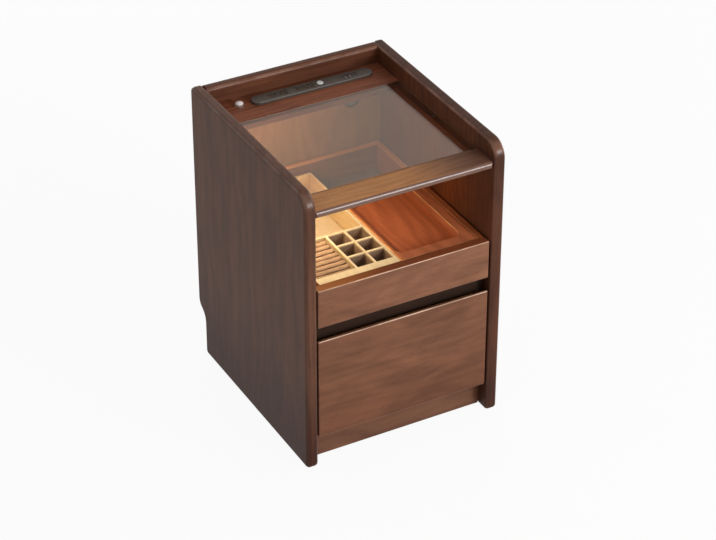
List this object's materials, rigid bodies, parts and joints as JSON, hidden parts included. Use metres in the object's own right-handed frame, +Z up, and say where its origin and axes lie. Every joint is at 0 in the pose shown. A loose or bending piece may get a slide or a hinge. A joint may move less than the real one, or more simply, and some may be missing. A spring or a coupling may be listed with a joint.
{
  "type": "nightstand",
  "caption": "Walnut bedside cabinet with raised gallery sides, a glass top over a lit open niche, pull-out drawers, and a socket strip and push switch on its rear ledge.",
  "frame": {"origin": "on the floor under the middle of the cabinet's footprint", "axes": "+Z up, the drawers open towards -Y, +X to the right seen from the front"},
  "size_m": [0.35, 0.395, 0.505],
  "materials": {
    "panel_walnut": "semi-gloss lacquer, upright grain",
    "top_walnut": "semi-gloss lacquer, grain across",
    "front_walnut": "semi-gloss lacquer, grain across",
    "drawer_wood": "satin lacquer",
    "thin_board": "satin veneer",
    "carcass_wood": "sealed",
    "organizer_wood": "satin lacquer, pale",
    "tray_wood": "satin lacquer",
    "tinted_glass": "clear, lightly tinted, polished edges",
    "black_plastic": "fine matt texture",
    "white_plastic": "gloss",
    "light_diffuser": "frosted",
    "button_pearl": "pearl gloss",
    "bright_metal": "polished",
    "light_bar_metal": "anodised",
    "slide_steel": "zinc plated",
    "glide_rubber": "matt",
    "cell_felt": "felt",
    "ring_velvet": "velvet"
  },
  "bodies": {
    "cabinet": {"left_side_panel": "panel_walnut", "right_side_panel": "panel_walnut", "back_rail": "panel_walnut", "front_rail": "top_walnut", "rear_ledge": "top_walnut", "glass_battens": "top_walnut", "plinth": "front_walnut", "divider_rail": "front_walnut", "back_panel": "thin_board", "bottom_panel": "carcass_wood", "rear_stretcher": "carcass_wood", "carcass_dowels": "carcass_wood", "glass_top": "tinted_glass", "socket_bezel": "black_plastic", "socket_body": "black_plastic", "outlet_inserts": "black_plastic", "usb_insert": "black_plastic", "cable_grommet": "black_plastic", "led_driver": "black_plastic", "light_leads": "black_plastic", "power_lens": "white_plastic", "led_end_caps": "white_plastic", "led_strip": "white_plastic", "led_diffuser": "light_diffuser", "switch_bezel": "bright_metal", "switch_nut": "bright_metal", "led_profile": "light_bar_metal", "upper_cabinet_rails": "slide_steel", "lower_cabinet_rails": "slide_steel", "rail_screws": "slide_steel", "back_panel_screws": "slide_steel", "foot_glides": "glide_rubber", "glass_pads": "glide_rubber"},
    "light_button": {"switch_button": "button_pearl"},
    "upper_runners": {"upper_middle_rails": "slide_steel"},
    "lower_runners": {"lower_middle_rails": "slide_steel"},
    "upper_drawer": {"upper_drawer_front": "front_walnut", "upper_box_front": "drawer_wood", "upper_box_left": "drawer_wood", "upper_box_right": "drawer_wood", "upper_box_back": "drawer_wood", "upper_box_bottom": "thin_board", "upper_drawer_rails": "slide_steel", "upper_drawer_screws": "slide_steel", "organizer_base": "organizer_wood", "organizer_walls": "organizer_wood", "organizer_dividers": "organizer_wood", "cell_liners": "cell_felt", "ring_rolls": "ring_velvet", "tray_frame": "tray_wood", "tray_floor": "tray_wood"},
    "lower_drawer": {"lower_drawer_front": "front_walnut", "lower_box_front": "drawer_wood", "lower_box_left": "drawer_wood", "lower_box_right": "drawer_wood", "lower_box_back": "drawer_wood", "lower_box_bottom": "thin_board", "lower_drawer_rails": "slide_steel", "lower_drawer_screws": "slide_steel"}
  },
  "joints": [
    {"name": "upper_drawer_slide", "type": "slide", "parent": "cabinet", "child": "upper_drawer", "axis": [0, -1, 0], "range_m": [0, 0.3]},
    {"name": "upper_runner_slide", "type": "slide", "parent": "cabinet", "child": "upper_runners", "axis": [0, -1, 0], "range_m": [0, 0.15]},
    {"name": "lower_drawer_slide", "type": "slide", "parent": "cabinet", "child": "lower_drawer", "axis": [0, -1, 0], "range_m": [0, 0.3]},
    {"name": "lower_runner_slide", "type": "slide", "parent": "cabinet", "child": "lower_runners", "axis": [0, -1, 0], "range_m": [0, 0.15]},
    {"name": "light_switch_press", "type": "slide", "parent": "cabinet", "child": "light_button", "axis": [0, 0, -1], "range_m": [0, 0.0015], "stiffness_N_per_m": 400, "springref_m": -0.001}
  ],
  "couplings": [
    {"joint": "upper_runner_slide", "follows": "upper_drawer_slide", "ratio": 0.5},
    {"joint": "lower_runner_slide", "follows": "lower_drawer_slide", "ratio": 0.5}
  ]
}
